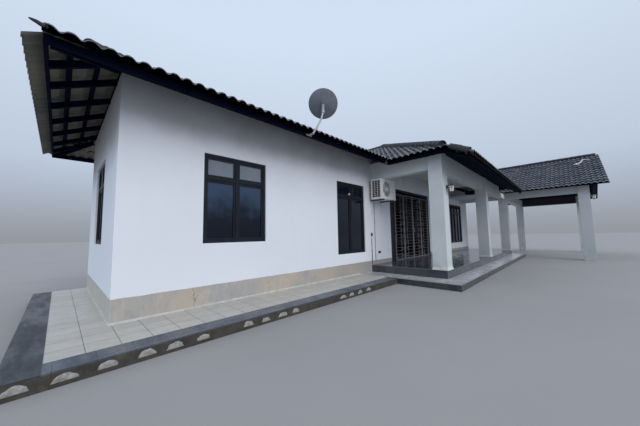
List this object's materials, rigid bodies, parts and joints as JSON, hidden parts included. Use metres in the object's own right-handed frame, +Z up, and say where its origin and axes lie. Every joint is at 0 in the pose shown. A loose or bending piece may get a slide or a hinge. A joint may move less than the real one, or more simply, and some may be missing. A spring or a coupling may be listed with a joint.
{
  "type": "bungalow",
  "caption": "Single-storey house with hipped tiled roofs, a columned porch with hinged door grilles, a carport and a tiled apron.",
  "frame": {"origin": "on the ground, under the middle of the central wing's floor", "axes": "+Z up, +X along the front wall to the right, +Y from the front of the house to its back"},
  "size_m": [22.295, 13.39, 5.3906],
  "materials": {
    "plaster_white": "painted plaster, matt",
    "plaster_pale": "pale grey painted plaster, matt",
    "cement": "cement render, rough",
    "concrete": "concrete, rough",
    "floor_tile_dark": "dark slate-look floor tile, wet and glossy",
    "floor_tile_beige": "beige floor tile",
    "roof_tile": "charcoal roof tile, weathered",
    "dark_timber": "dark stained timber",
    "bronze_frame": "dark bronze frame",
    "window_pane": "dark tinted glass",
    "grille_iron": "dark painted iron",
    "aircon_case": "cream painted steel",
    "dish_metal": "dark grey painted mesh and steel",
    "lamp_white": "white lamp glass"
  },
  "bodies": {
    "house": {"left_wall": "plaster_white", "front_wall_left": "plaster_white", "front_wall_over_door": "plaster_white", "front_wall_right": "plaster_white", "right_wall": "plaster_white", "back_wall_left": "plaster_white", "back_wall_right": "plaster_white", "wing_wall_left": "plaster_white", "wing_wall_right": "plaster_white", "wing_back_wall": "plaster_white", "porch_ceiling": "plaster_white", "carport_ceiling": "plaster_white", "porch_column_left": "plaster_pale", "porch_column_middle": "plaster_pale", "carport_column_near_left": "plaster_pale", "carport_column_near_right": "plaster_pale", "carport_column_far_left": "plaster_pale", "carport_column_far_right": "plaster_pale", "porch_beam": "plaster_pale", "porch_side_beams": "plaster_pale", "porch_flat_roof": "plaster_pale", "carport_beams": "plaster_pale", "plinth": "cement", "floor_slab": "concrete", "apron_kerb": "floor_tile_dark", "porch_floor": "floor_tile_dark", "porch_step": "floor_tile_dark", "apron": "floor_tile_beige", "left_roof": "roof_tile", "wing_roof": "roof_tile", "right_roof": "roof_tile", "carport_roof": "roof_tile", "roof_caps": "roof_tile", "wall_plates": "dark_timber", "fascia_boards": "dark_timber", "eave_rafters": "dark_timber", "tile_battens": "dark_timber", "soffit_boards": "dark_timber", "gable_boards": "dark_timber", "front_window_frames": "bronze_frame", "side_window_frames": "bronze_frame", "back_window_frames": "bronze_frame", "door_frame": "bronze_frame", "window_glass": "window_pane", "grille_panel_left": "grille_iron", "grille_panel_right": "grille_iron", "aircon_unit": "aircon_case", "aircon_bracket": "aircon_case", "dish": "dish_metal", "dish_arm": "dish_metal", "wall_lamps": "lamp_white", "lamp_iron": "grille_iron"},
    "left_leaf": {"grille_leaf_left": "grille_iron"},
    "right_leaf": {"grille_leaf_right": "grille_iron"}
  },
  "joints": [
    {"name": "left_leaf_hinge", "type": "hinge", "parent": "house", "child": "left_leaf", "pos_m": [-1.575, -3.8, 0.354], "axis": [0, 0, -1], "range_deg": [0, 95]},
    {"name": "right_leaf_hinge", "type": "hinge", "parent": "house", "child": "right_leaf", "pos_m": [-0.145, -3.8, 0.354], "axis": [0, 0, 1], "range_deg": [0, 95]}
  ]
}
